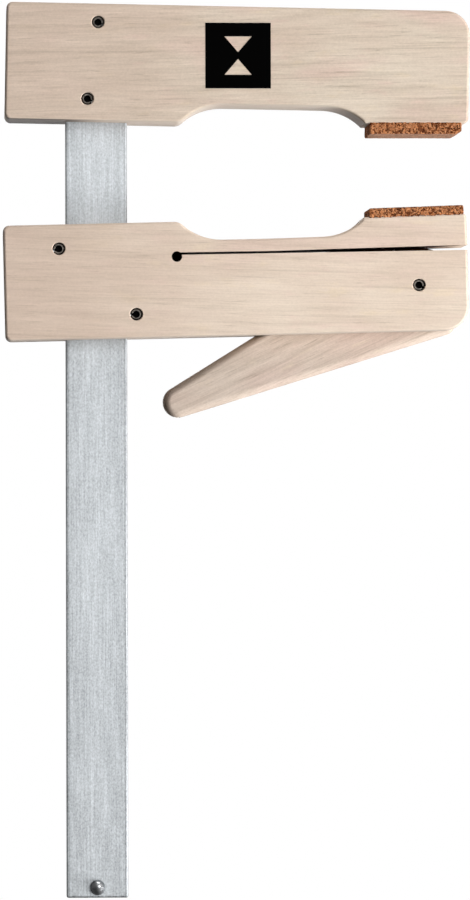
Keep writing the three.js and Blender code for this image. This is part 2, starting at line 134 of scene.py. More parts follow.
# End stop, a rivet closed by a tiny flat at each end. Under its head and at its foot: radius, and distance
# behind the rail's face on that side
STOP_LEVEL = -243.8
STOP_HOLE = 1.55
STOP_SHANK = 1.5
STOP_SHANK_INSET = 0.02
STOP_HEAD = 2.5
STOP_DOME = 2.25
STOP_RIM = 0.25
STOP_DOME_STEPS = 16
STOP_ROUND_STEPS = 64
STOP_FLAT = 0.02
STOP_UNDER_HEAD = ((2.42, -0.04), (2.3, 0.01))
STOP_FOOT = ((1.85, 0.02), (2.0, 0.22), (1.92, 0.45), (1.6, 0.6), (STOP_FLAT, 0.66))

# Holes: how far each face is broken, the gap round the pins, and the drill's point as shares of its radius
HOLE_BREAK = 0.22
FINE_HOLE_BREAK = 0.1
JAW_HOLE_GAP = 0.02
RAIL_HOLE_GAP = 0.03
LEVER_HOLE_GAP = 0.05
DRILL_TIP = 0.06
DRILL_CONE = 0.6

# Spring pins. For each ring from an end inwards: outer radius, bore radius, distance from the end
PIN_RADIUS = 2.0
PIN_BORE = 1.15
PIN_SLOT = 0.9
PIN_RECESS = 0.6
PIN_STEPS = 40
PIN_ENDS = ((1.5, 1.21, 0.0), (1.58, PIN_BORE, 0.06), (PIN_RADIUS, PIN_BORE, 0.75))
PIN_SLOT_DEGREES = {"fixed_jaw_pin_upper": 330, "fixed_jaw_pin_lower": 330, "guide_pin_upper": 195,
                    "guide_pin_lower": 180, "cam_pivot_pin": 330}
# A near-black plug in each pin's bore, this far in from each end: painted shade for the hollow
SHADE_PLUG_DEPTH = 1.6
SHADE_PLUG_RADIUS = PIN_BORE - 0.01
SHADE_PLUG_STEPS = 24

# Cam lever
LEVER_THICKNESS = 10.0
LEVER_EDGE = 2.5
LEVER_EDGE_STEPS = 6
LEVER_LENGTH = 86.226
LEVER_ANGLE = math.radians(24.6)
LEVER_TIP = 5.0
LEVER_LOWER_REACH = 18.05
LEVER_CHEEK = 1.8
LEVER_SLOT_GAP = 0.3
CAM_BASE = 12.1262
CAM_TOP = 14.0912
CAM_SWING = math.radians(75)
CAM_HEEL_REACH = 11.5
CAM_HEEL_RADIUS = 3.0
CAM_STEPS = 24
# Faces of the cam above this level take the kerf's painted shade
CAM_SHADE_LEVEL = 10.4

# Cork pads
PAD_SEATED = 0.35
PAD_SIDE_PLAY = 0.05
PAD_VOXEL = 0.34
PAD_SEAT_FACING = 0.5
FIXED_PAD_THICKNESS = 3.4
FIXED_PAD_CHAMFER = 1.7
FIXED_PAD_END_FACE = 2.5
LIP_PAD_THICKNESS = 2.5
LIP_PAD_LIFT = 0.3
LIP_PAD_END = 0.6
LIP_PAD_END_STEPS = 8
LIP_PAD_OVERHANG = 0.8
LIP_PAD_CHAMFER = 0.35

# Printed square, and its two open triangles
PRINT_CENTRE = (-57.45, 25.3)
PRINT_HALF = 10.6
PRINT_THICKNESS = 0.06
PRINT_SINK = 0.005
PRINT_TRIANGLE_TIP = 1.1
PRINT_TRIANGLE_BASE = 6.2
PRINT_TRIANGLE_HALF = 4.4
PRINT_CUTTER = 2.0

FIXED_PLACE = (Matrix.Translation((FIXED_SET_OVER - PAD_CENTRE, 0, FIXED_RISE))
               @ Matrix.Rotation(TOE_IN, 4, "Y"))
SLIDING_PLACE = Matrix.Translation((-PAD_CENTRE, 0, -SLIDING_DROP)) @ Matrix.Rotation(-CANT, 4, "Y")
RAIL_PLACE = Matrix.Translation((-PAD_CENTRE, 0, 0))
LIP_TURN = (Matrix.Translation((LIP_HINGE[0], 0, LIP_HINGE[1])) @ Matrix.Rotation(-LIP_PRESET, 4, "Y")
            @ Matrix.Translation((-LIP_HINGE[0], 0, -LIP_HINGE[1])))


# Outlines, in X and Z

def arc(centre, radius, start, end, steps=ARC_STEPS):
    """Points along an arc from one angle to another, with both ends."""
    points = []
    for step in range(steps + 1):
        angle = start + (end - start) * step / steps
        points.append((centre[0] + radius * math.cos(angle), centre[1] + radius * math.sin(angle)))
    return points


def counterclockwise(outline):
    """The outline without doubled points, turned to run counterclockwise."""
    points = [Vector(point) for point in outline]
    bare = [here for before, here in zip(points[-1:] + points, points) if (here - before).length > SAME_POINT]
    area = sum(p.x * q.y - q.x * p.y for p, q in zip(bare, bare[1:] + bare[:1]))
    return bare if area > 0 else bare[::-1]


def inset(outline, distance):
    """A counterclockwise outline moved inwards, corner by corner."""
    corners = []
    for index, here in enumerate(outline):
        way_in = (here - outline[index - 1]).normalized()
        way_out = (outline[(index + 1) % len(outline)] - here).normalized()
        left_in = Vector((-way_in.y, way_in.x))
        left_out = Vector((-way_out.y, way_out.x))
        corners.append(here + (left_in + left_out) * (distance / (1 + left_in.dot(left_out))))
    return corners


def jaw_outline(height, seat_level, seat_slope, nose_radius):
    """One jaw with its gap side up and its back on zero. The seat's level is a function of the way along."""
    centre = height - THROAT_CUT_DEPTH + THROAT_RADIUS

    def sweep(level):
        return math.acos((centre - level) / THROAT_RADIUS)

    down = -math.pi / 2
    # The throat's arc ends where it meets the seat, found in two steps because the seat may slope
    first_try = THROAT_FLOOR_END + THROAT_RADIUS * math.sin(sweep(seat_level(THROAT_FLOOR_END)))
    seat_start = seat_level(first_try)
    nose = JAW_REACH - nose_radius
    climb = centre - (height - THROAT_LEAD_RADIUS)
    run = math.sqrt((THROAT_RADIUS + THROAT_LEAD_RADIUS) ** 2 - climb ** 2)
    lead = (THROAT_FLOOR_START - run, height - THROAT_LEAD_RADIUS)
    lead_angle = math.atan2(climb, run)
    points = arc((HEEL_CORNER - JAW_HEEL, HEEL_CORNER), HEEL_CORNER, math.pi, 1.5 * math.pi)
    points += arc((JAW_REACH - BACK_CORNER, BACK_CORNER), BACK_CORNER, down, 0)
    points += arc((nose, seat_level(nose) - nose_radius), nose_radius, 0, math.pi / 2 + seat_slope)
    points += arc((THROAT_FLOOR_END, centre), THROAT_RADIUS, down + sweep(seat_start), down)
    points += arc((THROAT_FLOOR_START, centre), THROAT_RADIUS, down, lead_angle - math.pi)
    points += arc(lead, THROAT_LEAD_RADIUS, lead_angle, math.pi / 2)
    points += arc((HEEL_CORNER - JAW_HEEL, height - HEEL_CORNER), HEEL_CORNER, math.pi / 2, math.pi)
    return points


def kerf_level(along, lift=0.0):
    """Height above the sliding jaw's back of the kerf's lower face, or of a line that far over it."""
    return KERF_ROOT_LEVEL - (along - RELIEF_ALONG) * math.tan(KERF_TILT) + lift


def lever_lines():
    """The lever's tip centre, the slopes of its two long edges, and a function for its upper edge."""
    upper_reach = CAM_BASE + LEVER_CHEEK
    lower = LEVER_ANGLE - math.asin((LEVER_LOWER_REACH - LEVER_TIP) / LEVER_LENGTH)
    upper = LEVER_ANGLE + math.asin((upper_reach - LEVER_TIP) / LEVER_LENGTH)
    tip = Vector((-LEVER_LENGTH * math.cos(LEVER_ANGLE), -LEVER_LENGTH * math.sin(LEVER_ANGLE)))

    def upper_level(along, offset=0.0):
        x = tip.x - (LEVER_TIP + offset) * math.sin(upper)
        z = tip.y + (LEVER_TIP + offset) * math.cos(upper)
        return z + (along - x) * math.tan(upper)

    return tip, lower, upper, upper_level


def lever_grain():
    """The way the lever's grain runs in the frame: midway between its long edges."""
    _, lower, upper, _ = lever_lines()
    return (lower + upper) / 2 + CANT


def lever_outline():
    """The lever from its pivot: rounded tip, lower edge, heel, growing cam, and the flat under the lip."""
    tip, lower, upper, upper_level = lever_lines()
    lower_start = Vector((tip.x + LEVER_TIP * math.sin(lower), tip.y - LEVER_TIP * math.cos(lower)))
    heel = Vector((CAM_HEEL_REACH, lower_start.y + (CAM_HEEL_REACH - lower_start.x) * math.tan(lower)))
    heel_touch = math.atan2(heel.y, heel.x) + math.acos(CAM_TOP / heel.length)
    edge_normal = Vector((-math.sin(lower), math.cos(lower)))
    line_normal = Vector((-math.cos(heel_touch), -math.sin(heel_touch)))
    heel_centre = heel + (edge_normal + line_normal) * (CAM_HEEL_RADIUS / (1 + edge_normal.dot(line_normal)))
    spiral_end = math.pi / 2 - CAM_SWING
    points = arc(tip, LEVER_TIP, math.pi / 2 + upper, 1.5 * math.pi + lower, 2 * ARC_STEPS)
    points += arc(heel_centre, CAM_HEEL_RADIUS, lower - math.pi / 2, heel_touch)
    points += arc((0, 0), CAM_TOP, heel_touch, spiral_end)
    for step in range(1, CAM_STEPS + 1):
        angle = spiral_end + CAM_SWING * step / CAM_STEPS
        radius = CAM_TOP + (CAM_BASE - CAM_TOP) * step / CAM_STEPS
        points.append((radius * math.cos(angle), radius * math.sin(angle)))
    flat = math.pi / 2 + LIP_PRESET - KERF_TILT
    flat_rise = math.cos(flat) + math.tan(upper) * math.sin(flat)
    flat_end = (CAM_BASE - upper_level(0) * math.sin(flat)) / flat_rise
    points += [(CAM_BASE * math.cos(flat), CAM_BASE * math.sin(flat)), (flat_end, upper_level(flat_end))]
    return points


# Meshes

def finished(name, work, materials, place):
    """An object made from a bmesh in millimetres, put in its place in the frame."""
    bmesh.ops.recalc_face_normals(work, faces=work.faces)
    mesh = bpy.data.meshes.new(name)
    work.to_mesh(mesh)
    work.free()
    mesh.transform(Matrix.Scale(MM, 4) @ place)
    for material in materials:
        mesh.materials.append(material)
    piece = bpy.data.objects.new(name, mesh)
    bpy.context.scene.collection.objects.link(piece)
    return piece


def bridged(rings):
    """A closed body through rings of points that all have the same count."""
    work = bmesh.new()
    rows = [[work.verts.new(point) for point in ring] for ring in rings]
    for low, high in zip(rows, rows[1:]):
        for index in range(len(low)):
            work.faces.new((low[index - 1], low[index], high[index], high[index - 1]))
    work.faces.new(rows[0])
    work.faces.new(rows[-1][::-1])
    return work


def plate(outline, thickness, ease=0.0, steps=1):
    """A plate with its outline in X and Z, centred on Y, its long edges rounded."""
    bare = counterclockwise(outline)
    half = thickness / 2
    levels = [(ease * (1 - math.cos(turn)), half - ease + ease * math.sin(turn))
              for turn in (0.5 * math.pi * step / steps for step in range(steps + 1))]
    if ease == 0:
        levels = [(0.0, half)]
    rings = [[(p.x, -y, p.y) for p in inset(bare, depth)] for depth, y in levels[::-1]]
    rings += [[(p.x, y, p.y) for p in inset(bare, depth)] for depth, y in levels]
    return bridged(rings)


def turned(profile, steps=ROUND_STEPS):
    """A body turned about Y from a profile of radius and Y, closed at both ends."""
    turns = [2 * math.pi * step / steps for step in range(steps)]
    return bridged([[(radius * math.cos(turn), y, radius * math.sin(turn)) for turn in turns]
                    for radius, y in profile])


def moved(work, x=0.0, y=0.0, z=0.0):
    """The bmesh, moved."""
    bmesh.ops.translate(work, verts=work.verts, vec=(x, y, z))
    return work


def box(low, high):
    """A box between two corners."""
    outline = [(low[0], low[2]), (high[0], low[2]), (high[0], high[2]), (low[0], high[2])]
    return moved(plate(outline, high[1] - low[1]), y=(low[1] + high[1]) / 2)


def hole_cutter(radius, depth, lip):
    """A round cutter through a board of that thickness, a little wider where it breaks each face."""
    half = depth / 2
    over = lip + CUT_OVERRUN
    return turned([(radius + over, -half - CUT_OVERRUN), (radius, -half + lip), (radius, half - lip),
                   (radius + over, half + CUT_OVERRUN)])


def pin_holes(pins, gap, depth, lip, material, place):
    """Cutters for the holes of some pins through a board."""
    return [(moved(hole_cutter(PIN_RADIUS + gap, depth, lip), along, 0, level), material, place)
            for along, level in pins.values()]


def drill_cutter(radius, depth, reach, side):
    """A blind hole with a drill's cone at its end, from one side face (-1 or 1) of the board."""
    face = side * depth / 2
    profile = [(radius, face + side * CUT_OVERRUN), (radius, face - side * reach),
               (radius * DRILL_TIP, face - side * (reach + radius * DRILL_CONE))]
    return turned(profile if side > 0 else profile[::-1])


def applied(piece):
    """The piece with what its modifiers make of it as its own mesh."""
    bpy.context.view_layer.update()
    shaped = piece.evaluated_get(bpy.context.evaluated_depsgraph_get())
    mesh = bpy.data.meshes.new_from_object(shaped)
    piece.modifiers.clear()
    piece.data = mesh
    return piece


def cut(piece, cutters, operation="DIFFERENCE"):
    """Cuts the piece with each cutter, given as a bmesh, its material and its place in the frame."""
    helpers = []
    for work, material, place in cutters:
        helper = finished("cutter", work, [material], place)
        helpers.append(helper)
        step = piece.modifiers.new("cut", "BOOLEAN")
        step.operation = operation
        step.solver = "EXACT"
        step.material_mode = "TRANSFER"
        step.object = helper
    applied(piece)
    for helper in helpers:
        bpy.data.objects.remove(helper)
    return piece


def smoothed(piece):
    """Smooth shading with crisp edges, and flat faces that stay flat."""
    piece.data.shade_smooth()
    piece.data.set_sharp_from_angle(angle=SHARP_ANGLE)
    weighted = piece.modifiers.new("weighted normals", "WEIGHTED_NORMAL")
    weighted.keep_sharp = True
    weighted.weight = NORMAL_WEIGHT


def dressed(piece, body, slot, *nodes):
    """Shading, body, and the model's nodes that the piece stands for. The finish slot is not used."""
    smoothed(piece)
    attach(piece, body)
    if nodes:
        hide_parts(*nodes)


# Materials

def linear(red, green, blue):
    """A colour given in sRGB from 0 to 255, as Blender's linear colour."""
    shares = [value / 255 for value in (red, green, blue)]
    return tuple(s / 12.92 if s <= 0.04045 else ((s + 0.055) / 1.055) ** 2.4 for s in shares) + (1.0,)


class Nodes:
    """The node tree of a material or a world, built with short calls. A socket given as a value is linked."""

    def __init__(self, owner):
        self.owner = owner
        self.owner.use_nodes = True
        self.tree = owner.node_tree
        self.tree.nodes.clear()

    def add(self, kind, values=None, **settings):
        """A new node with its settings and the values of its inputs."""
        node = self.tree.nodes.new("ShaderNode" + kind)
        for key, value in settings.items():
            setattr(node, key, value)
        for key, value in (values or {}).items():
            if isinstance(value, bpy.types.NodeSocket):
                self.tree.links.new(value, node.inputs[key])
            else:
                node.inputs[key].default_value = value
        return node

    def math(self, operation, *values):
        """The result of an operation on one, two or three values."""
        return self.add("Math", dict(enumerate(values)), operation=operation).outputs[0]

    def plus(self, base, share, strength):
        """The base with a share added to it at that strength. A negative strength takes away."""
        return self.math("MULTIPLY_ADD", share, strength, base)

    def range(self, value, low, high, out_low=0.0, out_high=1.0, smooth=True):
        """The value's way from low to high, as the way between two results, and no further."""
        values = {"Value": value, "From Min": low, "From Max": high, "To Min": out_low, "To Max": out_high}
        style = "SMOOTHSTEP" if smooth else "LINEAR"
        return self.add("MapRange", values, interpolation_type=style, clamp=True).outputs[0]

    def mix(self, share, first, second, style="MIX"):
        """Two colours mixed."""
        node = self.add("Mix", {0: share, 6: first, 7: second}, data_type="RGBA", blend_type=style)
        return node.outputs[2]

    def tint(self, colour, tone, share, strength):
        """The colour moved towards a tone by a share, at that strength."""
        return self.mix(self.math("MULTIPLY", share, strength), colour, tone)

    def noise(self, vector, scale, detail=2.0, roughness=0.5, distortion=0.0):
        """Noise whose scale is given per millimetre for each axis."""
        stretched = self.add("VectorMath", {0: vector, 1: scale}, operation="MULTIPLY").outputs[0]
        values = {"Vector": stretched, "Scale": 1.0, "Detail": detail, "Roughness": roughness,
                  "Distortion": distortion}
        return self.add("TexNoise", values).outputs[0]

    def coordinate(self, kind):
        """A texture coordinate, such as the place in the piece's own frame or the surface's normal."""
        return self.add("TexCoord").outputs[kind]

    def parts(self, vector):
        """A vector's X, Y and Z."""
        return self.add("SeparateXYZ", {"Vector": vector}).outputs

    def millimetres(self, turn=0.0, offset=(0, 0, 0)):
        """The place in the piece's own frame in millimetres, turned about Y and moved."""
        values = {"Vector": self.coordinate("Object"), "Scale": (1 / MM, 1 / MM, 1 / MM),
                  "Rotation": (0, turn, 0), "Location": offset}
        return self.add("Mapping", values, vector_type="POINT").outputs[0]

    def surface(self, colour, rough, height, bump, depth, specular=0.5, metallic=0.0):
        """The finished material. The bump has a strength, and a depth in millimetres."""
        bumped = self.add("Bump", {"Height": height, "Strength": bump, "Distance": depth * MM})
        values = {"Base Color": colour, "Roughness": rough, "Normal": bumped.outputs[0],
                  "Specular IOR Level": specular, "Metallic": metallic}
        shader = self.add("BsdfPrincipled", values)
        self.add("OutputMaterial", {"Surface": shader.outputs[0]})
        return self.owner


# Wood tones: pale, warm, towards the heel (partly the wood's own, partly painted shade), pink, yellow
FIXED_TONES = [linear(*tone) for tone in (
    (220, 205, 187), (213, 194, 176), (214, 193, 176), (222, 193, 180), (222, 203, 174))]
SLIDING_TONES = [linear(*tone) for tone in (
    (232, 215, 197), (224, 204, 186), (213, 191, 174), (229, 204, 190), (231, 212, 185))]
# The lever's tone towards the heel darkens its tip: painted shade
LEVER_TONES = [linear(*tone) for tone in (
    (224, 209, 194), (215, 197, 182), (182, 161, 147), (214, 190, 177), (223, 207, 184))]

# Painted shade on the wood, and where along the jaws each mark and the heel's tone starts and is full, in
# metres
# Grey on the faces that turn down: painted shade
UNDERSIDE_SHADE_GREY = linear(188, 177, 166)
# Brown where the throat turns away from the light: painted shade
THROAT_SHADE_BROWN = linear(100, 74, 52)
# Near black under the heel, where the rail shades it: painted shade
HEEL_SHADE_BLACK = linear(52, 46, 41)
HEEL_TONE_AND_SHADE_SPAN = (-0.035, -0.135)
HEEL_SHADE_SPAN = (-0.098, -0.116)
THROAT_SHADE_SPAN = (-0.110, -0.085)

# Layers of the grain: noise scale along and across, detail, roughness, distortion, and how much each shades
GRAIN_LAYERS = {"band": ((0.03, 0.24, 0.24), 3.0, 0.55, 0.5, 0.30),
                "fibre": ((0.055, 1.3, 1.3), 5.0, 0.7, 0.0, 0.38),
                "hair": ((0.11, 3.8, 3.8), 3.0, 0.65, 0.0, 0.38),
                "grit": ((1.3, 1.7, 1.7), 3.0, 0.6, 0.0, 0.28)}
FLECK_SHADE = 0.18
STREAK_SHADE = 0.13
RING_SHADE = 0.08
END_GRAIN_RING_SHADE = 0.12
END_GRAIN_SHADE = 0.24
RING_WIDTH = 3.4
RING_DRIFT = 11.0
RING_WAVE = 1.2


def growth_rings(n, place, axis):
    """Rings of darker late wood round an axis along the grain, clear in some places and faint in others."""
    parts = n.parts(place)
    across = n.math("SUBTRACT", parts[1], axis[0])
    up = n.math("SUBTRACT", parts[2], axis[1])
    radius = n.math("SQRT", n.math("ADD", n.math("MULTIPLY", across, across), n.math("MULTIPLY", up, up)))
    drifted = n.plus(radius, n.noise(place, (0.012, 0.03, 0.03), 2.0), RING_DRIFT)
    wavy = n.plus(drifted, n.noise(place, (0.06, 0.5, 0.5), 3.0), RING_WAVE)
    ring = n.math("FRACT", n.math("DIVIDE", wavy, RING_WIDTH))
    late = n.math("MULTIPLY", n.range(ring, 0.35, 0.86), n.range(ring, 0.86, 1.0, 1.0, 0.0))
    clear = n.range(n.noise(place, (0.012, 0.09, 0.09), 2.0), 0.35, 0.7)
    return n.math("MULTIPLY", late, clear)


def wood_tone(n, place, from_tip, tones):
    """The wood's colour without its grain: soft blotches and patches, and another tone towards the heel,
    partly painted shade.
    """
    pale, warm, heel, pink, yellow = tones
    blotch = n.noise(place, (0.020, 0.055, 0.055), 3.0, 0.55)
    blush = n.noise(place, (0.03, 0.08, 0.08), 2.0, 0.5)
    patch = n.noise(place, (0.07, 0.24, 0.24), 3.0, 0.6)
    colour = n.mix(n.range(blotch, 0.36, 0.66), pale, warm)
    colour = n.tint(colour, pink, n.range(blush, 0.5, 0.72), 0.6)
    colour = n.tint(colour, pink, n.range(patch, 0.56, 0.74), 0.5)
    colour = n.tint(colour, yellow, n.range(patch, 0.44, 0.28), 0.5)
    # Towards the heel: partly the wood's own tone, partly painted shade
    return n.tint(colour, heel, n.range(from_tip, *HEEL_TONE_AND_SHADE_SPAN), 0.8)


def painted_wood_shade(n, colour, normal, from_tip, under_grime, throat_grime, heel_grime):
    """Painted shade on the wood: grey where it faces down, brown where the throat faces the rail, black under
    the heel.
    """
    # Painted shade: grey on the faces that turn down
    colour = n.tint(colour, UNDERSIDE_SHADE_GREY, n.range(normal[2], -0.3, -0.9), under_grime)
    # Painted shade: brown where the throat faces the rail, away from the light
    throat_shade_mask = n.math("MULTIPLY", n.range(normal[0], -0.05, -0.65), n.range(from_tip, *THROAT_SHADE_SPAN))
    colour = n.tint(colour, THROAT_SHADE_BROWN, throat_shade_mask, throat_grime)
    # Painted shade: black under the heel, which the rail shades
    heel_shade_mask = n.math("MULTIPLY", n.range(normal[2], -0.6, -0.95), n.range(from_tip, *HEEL_SHADE_SPAN))
    return n.tint(colour, HEEL_SHADE_BLACK, heel_shade_mask, heel_grime)


def wood(name, turn, offset, tones, ring_axis, contrast, **grime):
    """Fine pale hardwood: growth rings, bands, fibres, hairs, grit, flecks and streaks, and painted shade."""
    n = Nodes(bpy.data.materials.new(name))
    place = n.millimetres(turn, offset)
    from_tip = n.parts(n.coordinate("Object"))[0]
    normal = n.parts(n.coordinate("Normal"))
    end_grain = n.range(n.math("ABSOLUTE", normal[0]), 0.6, 0.95)
    fleck = n.range(n.noise(place, (0.14, 2.6, 2.6), 2.0, 0.5, 0.3), 0.62, 0.74)
    streak = n.range(n.noise(place, (0.012, 1.1, 1.1), 2.0, 0.5, 0.2), 0.60, 0.70)
    ring_shade = n.plus(-RING_SHADE, end_grain, -END_GRAIN_RING_SHADE)
    shade = n.plus(1.0, growth_rings(n, place, ring_axis), ring_shade)
    layers = {}
    for layer, (*settings, strength) in GRAIN_LAYERS.items():
        layers[layer] = n.noise(place, *settings)
        shade = n.plus(shade, n.math("SUBTRACT", layers[layer], 0.5), -strength * contrast)
    shade = n.plus(shade, fleck, -FLECK_SHADE * contrast)
    shade = n.plus(shade, streak, -STREAK_SHADE * contrast)
    shade = n.plus(shade, end_grain, -END_GRAIN_SHADE)
    # Darker grain is also browner
    channels = {0: shade, 1: n.math("POWER", shade, 1.12), 2: n.math("POWER", shade, 1.25)}
    grain = n.add("CombineColor", channels).outputs[0]
    colour = n.mix(1.0, wood_tone(n, place, from_tip, tones), grain, "MULTIPLY")
    colour = painted_wood_shade(n, colour, normal, from_tip, **grime)
    rough = n.range(layers["fibre"], 0.3, 0.7, 0.52, 0.68, smooth=False)
    height = n.plus(n.plus(layers["fibre"], layers["hair"], 0.5), fleck, -0.8)
    return n.surface(colour, rough, height, bump=0.4, depth=0.05, specular=0.12)


def kerf_shade_material():
    """Painted shade in the kerf, relief hole, lever slot and cam top: near black deep in, brown, bare towards
    the tip.
    """
    n = Nodes(bpy.data.materials.new("scorched wood"))
    place = n.millimetres()
    along = n.parts(place)[0]
    mottle = n.noise(place, (0.2, 0.5, 0.5), 4.0, 0.6)
    marks = n.noise(place, (0.05, 0.3, 3.0), 2.0)
    # Painted shade: near black deep in, brown further out, bare wood towards the tip
    shallow_shade = n.mix(n.range(mottle, 0.3, 0.75), linear(86, 48, 30), linear(140, 98, 76))
    deep_shade = n.mix(n.range(mottle, 0.3, 0.75), linear(14, 9, 6), linear(30, 20, 13))
    colour = n.mix(n.range(along, -22.0, 2.0), deep_shade, shallow_shade)
    colour = n.mix(n.range(along, 4.0, 15.0), colour, linear(226, 208, 190))
    colour = n.tint(colour, linear(40, 22, 14), marks, 0.3)
    rough = n.range(mottle, 0.3, 0.7, 0.7, 0.85)
    return n.surface(colour, rough, marks, bump=0.5, depth=0.08, specular=0.05)


def bore_shade_plug():
    """A near-black plug a little way into the pins' bores: painted shade for the hollow."""
    n = Nodes(bpy.data.materials.new("bore dirt"))
    grit = n.noise(n.millimetres(), (2.0, 2.0, 2.0), 3.0)
    colour = n.mix(n.range(grit, 0.3, 0.7), linear(8, 8, 9), linear(20, 18, 17))
    return n.surface(colour, 0.9, grit, bump=0.4, depth=0.1, specular=0.05)


def cork():
    """Pressed cork: small granules of many browns, dark bark specks, open pits, and paler sanded faces."""
    n = Nodes(bpy.data.materials.new("cork"))
    place = n.millimetres()
    jitter = n.add("TexNoise", {"Vector": place, "Scale": 1.3, "Detail": 3.0}).outputs[1]
    shift = n.add("VectorMath", {0: jitter, "Scale": 0.9}, operation="SCALE").outputs[0]
    bent = n.add("VectorMath", {0: place, 1: shift}, operation="ADD").outputs[0]
    grains = n.add("TexVoronoi", {"Vector": bent, "Scale": 1.25}, feature="F1")
    small = n.add("TexVoronoi", {"Vector": bent, "Scale": 2.6}, feature="F1")
    edges = n.add("TexVoronoi", {"Vector": bent, "Scale": 1.25}, feature="DISTANCE_TO_EDGE").outputs[0]
    pick = n.add("SeparateColor", {"Color": grains.outputs["Color"]}).outputs
    pick_small = n.add("SeparateColor", {"Color": small.outputs["Color"]}).outputs
    speck = n.range(pick_small[2], 0.70, 0.78)
    colour = n.mix(pick[0], linear(205, 132, 82), linear(160, 92, 50))
    colour = n.tint(colour, linear(222, 160, 116), pick_small[1], 0.7)
    colour = n.tint(colour, linear(98, 44, 16), n.range(pick[2], 0.76, 0.82), 0.8)
    colour = n.tint(colour, linear(56, 22, 6), speck, 0.9)
    colour = n.tint(colour, linear(104, 50, 24), n.range(edges, 0.0, 0.08, 1.0, 0.0), 0.5)
    facing = n.parts(n.coordinate("Normal"))[2]
    sanded = n.range(n.math("ABSOLUTE", facing), 0.7, 0.95)
    colour = n.tint(colour, linear(190, 160, 140), sanded, 0.5)
    rough = n.range(pick[1], 0.0, 1.0, 0.82, 0.96, smooth=False)
    height = n.math("SUBTRACT", n.range(edges, 0.0, 0.2), n.math("MULTIPLY", speck, 0.8))
    return n.surface(colour, rough, height, bump=0.7, depth=0.2, specular=0.1)


def rail_tone_and_shade(n, shade, across, level):
    """The plating's tone: painted shade on its edges and foot, lighter in the middle, and painted light near
    the top.
    """
    edge = RAIL_WIDTH / 2 - RAIL_EDGE_BAND
    from_middle = n.math("ABSOLUTE", across)
    line = n.math("MULTIPLY", n.range(from_middle, edge - 0.45, edge),
                  n.range(from_middle, edge, edge + 0.3, 1.0, 0.0))
    left_edge_shade = n.range(across, -edge - 0.1, -edge - 0.6)
    right_edge_shade = n.range(across, edge, edge + 0.5)
    foot = n.range(level, RAIL_FOOT + 0.9, RAIL_FOOT + 0.3)
    # A dark line along both edges; painted shade on the edges' roundings, deeper on the left, and on the foot
    for share, strength in ((line, -0.25), (left_edge_shade, -0.5), (right_edge_shade, -0.18), (foot, -0.45)):
        shade = n.plus(shade, share, strength)
    shade = n.math("ADD", shade, n.range(from_middle, 2.0, 8.5, 0.03, -0.05))
    shade = n.math("ADD", shade, n.range(level, -20.0, -240.0, 0.0, -0.05, smooth=False))
    # Painted light near the top, where the jaws shade the rail
    return n.math("ADD", shade, n.range(level, 0.0, -40.0, 0.1, 0.0))


def zinc():
    """Zinc-plated drawn steel: fine streaks down the rail, crystal speckle, clouding, and painted shade and
    light.
    """
    n = Nodes(bpy.data.materials.new("zinc plated steel"))
    place = n.millimetres()
    parts = n.parts(place)
    streak = n.noise(place, (1.9, 1.9, 0.05), 4.0, 0.6)
    speckle = n.noise(place, (1.9, 1.9, 1.3), 4.0, 0.7)
    cloud = n.noise(place, (0.22, 0.22, 0.07), 3.0)
    shade = 1.0
    for layer, strength in ((streak, 0.75), (speckle, 1.35), (cloud, 0.3)):
        shade = n.plus(shade, n.math("SUBTRACT", layer, 0.5), strength)
    shade = rail_tone_and_shade(n, shade, n.math("ADD", parts[0], PAD_CENTRE), parts[2])
    grey = n.add("CombineColor", {0: shade, 1: shade, 2: shade})
    colour = n.mix(1.0, linear(178, 182, 185), grey.outputs[0], "MULTIPLY")
    rough = n.range(speckle, 0.3, 0.7, 0.45, 0.62, smooth=False)
    height = n.plus(speckle, streak, 0.5)
    return n.surface(colour, rough, height, bump=0.6, depth=0.05, metallic=0.75)


def steel(name, dark, light, rough_low, rough_high, side_shade):
    """Plain steel with fine scratches and a little clouding, with painted shade on its left and rim by that
    share.
    """
    n = Nodes(bpy.data.materials.new(name))
    place = n.millimetres()
    scratch = n.noise(place, (5.0, 0.6, 5.0), 4.0, 0.7)
    cloud = n.noise(place, (0.9, 0.9, 0.9), 3.0)
    normal = n.parts(n.coordinate("Normal"))
    # Painted shade: darker on faces turned left and down, and on the rim
    left = n.range(n.plus(normal[0], normal[2], 0.35), 0.35, -0.25)
    rim = n.range(normal[1], -0.45, -0.1)
    colour = n.mix(n.range(cloud, 0.35, 0.65), dark, light)
    colour = n.tint(colour, linear(20, 20, 21), n.math("MAXIMUM", left, rim), side_shade)
    rough = n.range(scratch, 0.3, 0.7, rough_low, rough_high, smooth=False)
    return n.surface(colour, rough, scratch, bump=0.3, depth=0.02, metallic=1.0)


def ink():
    """Black printing ink that lets the fibres through here and there."""
    n = Nodes(bpy.data.materials.new("printing ink"))
    fibre = n.noise(n.millimetres(), (0.06, 2.0, 2.0), 5.0, 0.65)
    colour = n.tint(linear(1, 1, 1), linear(22, 19, 17), n.range(fibre, 0.68, 0.80), 0.5)
    rough = n.range(fibre, 0.3, 0.7, 0.5, 0.7, smooth=False)
    return n.surface(colour, rough, fibre, bump=0.3, depth=0.03, specular=0.01)


